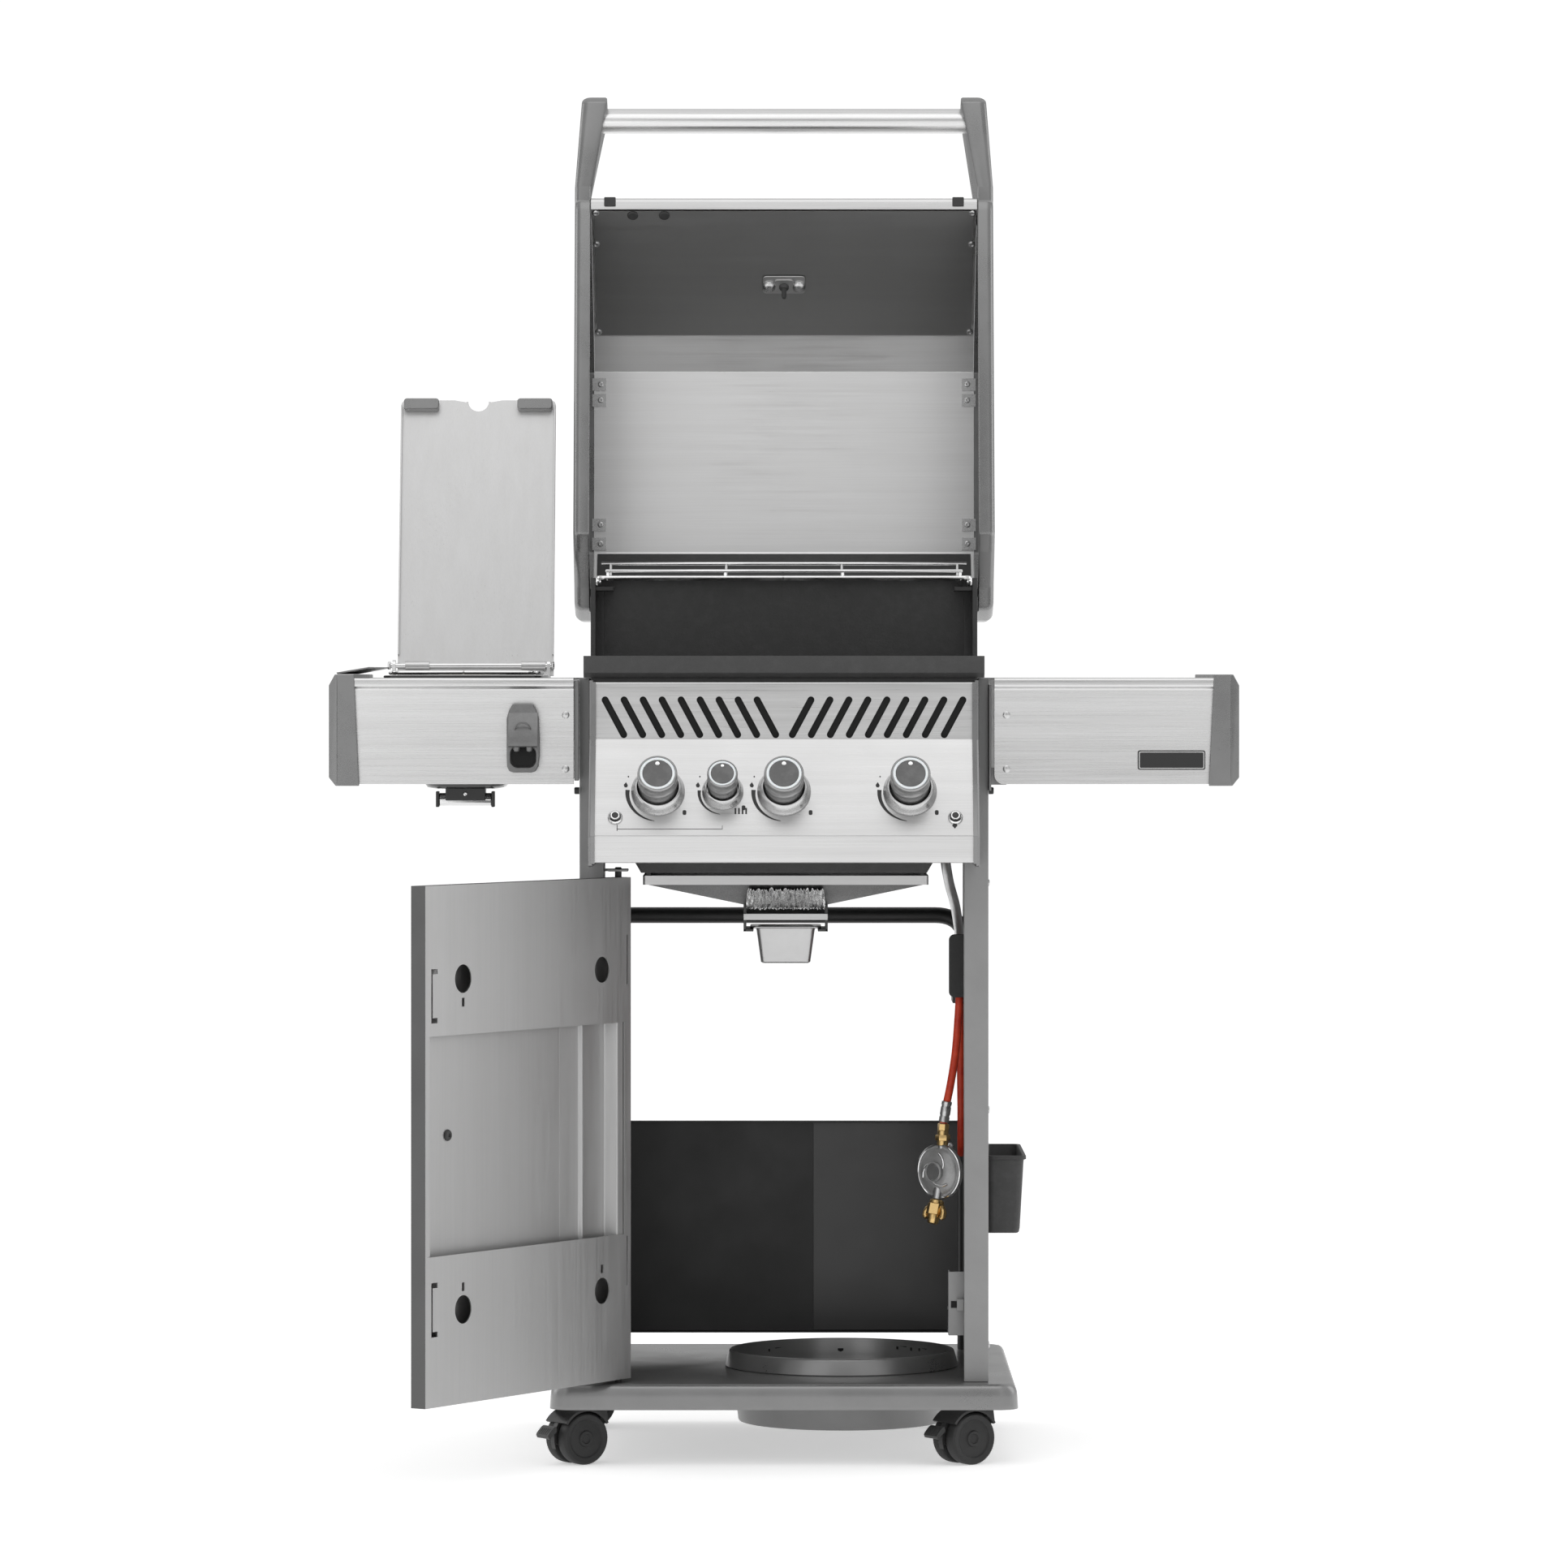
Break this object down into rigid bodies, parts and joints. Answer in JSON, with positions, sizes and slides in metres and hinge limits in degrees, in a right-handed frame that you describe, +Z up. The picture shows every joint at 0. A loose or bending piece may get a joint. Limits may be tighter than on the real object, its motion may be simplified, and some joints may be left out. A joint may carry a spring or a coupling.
{
  "type": "gas barbecue grill",
  "caption": "Cabinet gas grill on casters with a hinged lid, slatted control panel with burner knobs, side burner shelf, folding shelf, cabinet door and hose with regulator.",
  "frame": {"origin": "centre of the footprint box at floor level", "axes": "+X to the user's right, +Y to the back, +Z up"},
  "size_m": [1.078, 0.9799, 1.6631],
  "materials": {
    "stainless": "brushed, satin",
    "plain_steel": "plain sheet steel, satin",
    "grey_sheet": "smooth silver grey powder coat",
    "painted_grey": "fine powder coat",
    "cast_grey": "fine textured paint on cast aluminium",
    "cast_dark": "heat-resistant black paint on cast aluminium",
    "black_paint": "satin powder coat",
    "black_enamel": "gloss enamel",
    "black_plastic": "fine moulded grain",
    "caster_plastic": "moulded, satin",
    "caster_tread": "moulded tread, matte",
    "enamelled_iron": "matte enamel",
    "chrome": "polished",
    "zinc": "die-cast, satin",
    "brass": "turned",
    "foil": "pressed foil",
    "hose_rubber": "smooth extruded"
  },
  "bodies": {
    "cart": {"base_tray": "painted_grey", "left_side_panel": "painted_grey", "right_side_panel": "painted_grey", "rear_frame": "black_paint", "rear_panel": "black_paint", "door_catch": "plain_steel", "hose_hook": "black_plastic", "firebox": "cast_dark", "left_burner": "plain_steel", "centre_burner": "plain_steel", "right_burner": "plain_steel", "left_flame_tamer": "plain_steel", "centre_flame_tamer": "plain_steel", "right_flame_tamer": "plain_steel", "control_panel": "stainless", "left_panel_cap": "cast_grey", "right_panel_cap": "cast_grey", "gas_manifold": "plain_steel", "left_shelf": "stainless", "left_shelf_cap": "cast_grey", "side_burner": "black_enamel", "bottle_opener": "cast_grey", "right_shelf_bracket": "painted_grey", "gas_hose": "hose_rubber", "regulator": "zinc", "regulator_nut": "brass"},
    "lid": {"lid_left_side": "cast_grey", "lid_right_side": "cast_grey", "lid_skin": "stainless", "lid_liner": "stainless", "lid_handle": "stainless", "temperature_gauge": "chrome"},
    "door": {"door_panel": "grey_sheet", "door_handle": "stainless"},
    "folding_shelf": {"right_shelf": "stainless", "right_shelf_cap": "cast_grey"},
    "burner_lid": {"side_burner_lid": "stainless"},
    "burner_grate": {"side_burner_grate": "chrome"},
    "left_knob": {"left_burner_knob": "chrome"},
    "small_knob": {"side_burner_knob": "chrome"},
    "centre_knob": {"centre_burner_knob": "chrome"},
    "right_knob": {"right_burner_knob": "chrome"},
    "left_button": {"left_igniter_button": "black_plastic"},
    "right_button": {"right_igniter_button": "black_plastic"},
    "left_grid": {"left_cooking_grid": "enamelled_iron"},
    "right_grid": {"right_cooking_grid": "enamelled_iron"},
    "rack": {"warming_rack": "chrome"},
    "tray": {"grease_tray": "plain_steel"},
    "cup": {"drip_cup": "foil"},
    "basket": {"side_basket": "black_plastic"},
    "front_left_swivel": {"front_left_caster": "caster_plastic"},
    "front_left_wheel_pair": {"front_left_wheels": "caster_tread"},
    "front_left_brake_lever": {"front_left_brake": "caster_plastic"},
    "front_right_swivel": {"front_right_caster": "caster_plastic"},
    "front_right_wheel_pair": {"front_right_wheels": "caster_tread"},
    "front_right_brake_lever": {"front_right_brake": "caster_plastic"},
    "rear_left_swivel": {"rear_left_caster": "caster_plastic"},
    "rear_left_wheel_pair": {"rear_left_wheels": "caster_tread"},
    "rear_right_swivel": {"rear_right_caster": "caster_plastic"},
    "rear_right_wheel_pair": {"rear_right_wheels": "caster_tread"}
  },
  "joints": [
    {"name": "lid_hinge", "type": "hinge", "parent": "cart", "child": "lid", "pos_m": [0, 0.2916, 1.04], "axis": [1, 0, 0], "range_deg": [0, 100]},
    {"name": "door_hinge", "type": "hinge", "parent": "cart", "child": "door", "pos_m": [-0.197, -0.1444, 0.4], "axis": [0, 0, 1], "range_deg": [0, 122.5]},
    {"name": "shelf_fold", "type": "hinge", "parent": "cart", "child": "folding_shelf", "pos_m": [0.258, 0.0466, 0.817], "axis": [0, 1, 0], "range_deg": [0, 90]},
    {"name": "burner_lid_hinge", "type": "hinge", "parent": "cart", "child": "burner_lid", "pos_m": [-0.383, 0.2256, 0.949], "axis": [1, 0, 0], "range_deg": [0, 104]},
    {"name": "burner_grate_lift", "type": "slide", "parent": "cart", "child": "burner_grate", "axis": [0, 0, -1], "range_m": [-0.06, 0]},
    {"name": "left_knob_turn", "type": "hinge", "parent": "cart", "child": "left_knob", "pos_m": [-0.148, -0.24022, 0.8], "axis": [0, -0.8897, 0.4566], "range_deg": [0, 210]},
    {"name": "small_knob_turn", "type": "hinge", "parent": "cart", "child": "small_knob", "pos_m": [-0.072, -0.24022, 0.8], "axis": [0, -0.8897, 0.4566], "range_deg": [0, 210]},
    {"name": "centre_knob_turn", "type": "hinge", "parent": "cart", "child": "centre_knob", "pos_m": [0, -0.24022, 0.8], "axis": [0, -0.8897, 0.4566], "range_deg": [0, 210]},
    {"name": "right_knob_turn", "type": "hinge", "parent": "cart", "child": "right_knob", "pos_m": [0.148, -0.24022, 0.8], "axis": [0, -0.8897, 0.4566], "range_deg": [0, 210]},
    {"name": "left_button_press", "type": "slide", "parent": "cart", "child": "left_button", "axis": [0, 0.8897, -0.4566], "range_m": [0, 0.004], "stiffness_N_per_m": 300, "springref_m": -0.002},
    {"name": "right_button_press", "type": "slide", "parent": "cart", "child": "right_button", "axis": [0, 0.8897, -0.4566], "range_m": [0, 0.004], "stiffness_N_per_m": 300, "springref_m": -0.002},
    {"name": "left_grid_lift", "type": "slide", "parent": "cart", "child": "left_grid", "axis": [0, 0, -1], "range_m": [-0.1, 0]},
    {"name": "right_grid_lift", "type": "slide", "parent": "cart", "child": "right_grid", "axis": [0, 0, -1], "range_m": [-0.1, 0]},
    {"name": "rack_lift", "type": "slide", "parent": "cart", "child": "rack", "axis": [0, 0, -1], "range_m": [-0.12, 0]},
    {"name": "tray_slide", "type": "slide", "parent": "cart", "child": "tray", "axis": [0, 1, 0], "range_m": [-0.33, 0]},
    {"name": "cup_slide", "type": "slide", "parent": "tray", "child": "cup", "axis": [0, 1, 0], "range_m": [-0.1, 0]},
    {"name": "basket_lift", "type": "slide", "parent": "cart", "child": "basket", "axis": [0, 0, -1], "range_m": [-0.06, 0]},
    {"name": "front_left_swivel_turn", "type": "hinge", "parent": "cart", "child": "front_left_swivel", "pos_m": [-0.23, -0.1304, 0.07], "axis": [0, 0, 1], "continuous": true},
    {"name": "front_left_wheel_pair_roll", "type": "hinge", "parent": "front_left_swivel", "child": "front_left_wheel_pair", "pos_m": [-0.24638, -0.14187, 0.031], "axis": [-0.5736, 0.8192, 0], "continuous": true},
    {"name": "front_left_brake_lever_press", "type": "hinge", "parent": "front_left_swivel", "child": "front_left_brake_lever", "pos_m": [-0.27792, -0.16395, 0.044], "axis": [0.5736, -0.8192, 0], "range_deg": [0, 15]},
    {"name": "front_right_swivel_turn", "type": "hinge", "parent": "cart", "child": "front_right_swivel", "pos_m": [0.23, -0.1304, 0.07], "axis": [0, 0, 1], "continuous": true},
    {"name": "front_right_wheel_pair_roll", "type": "hinge", "parent": "front_right_swivel", "child": "front_right_wheel_pair", "pos_m": [0.21362, -0.14187, 0.031], "axis": [-0.5736, 0.8192, 0], "continuous": true},
    {"name": "front_right_brake_lever_press", "type": "hinge", "parent": "front_right_swivel", "child": "front_right_brake_lever", "pos_m": [0.18208, -0.16395, 0.044], "axis": [0.5736, -0.8192, 0], "range_deg": [0, 15]},
    {"name": "rear_left_swivel_turn", "type": "hinge", "parent": "cart", "child": "rear_left_swivel", "pos_m": [-0.23, 0.2836, 0.07], "axis": [0, 0, 1], "continuous": true},
    {"name": "rear_left_wheel_pair_roll", "type": "hinge", "parent": "rear_left_swivel", "child": "rear_left_wheel_pair", "pos_m": [-0.24638, 0.27213, 0.031], "axis": [-0.5736, 0.8192, 0], "continuous": true},
    {"name": "rear_right_swivel_turn", "type": "hinge", "parent": "cart", "child": "rear_right_swivel", "pos_m": [0.23, 0.2836, 0.07], "axis": [0, 0, 1], "continuous": true},
    {"name": "rear_right_wheel_pair_roll", "type": "hinge", "parent": "rear_right_swivel", "child": "rear_right_wheel_pair", "pos_m": [0.21362, 0.27213, 0.031], "axis": [-0.5736, 0.8192, 0], "continuous": true}
  ]
}
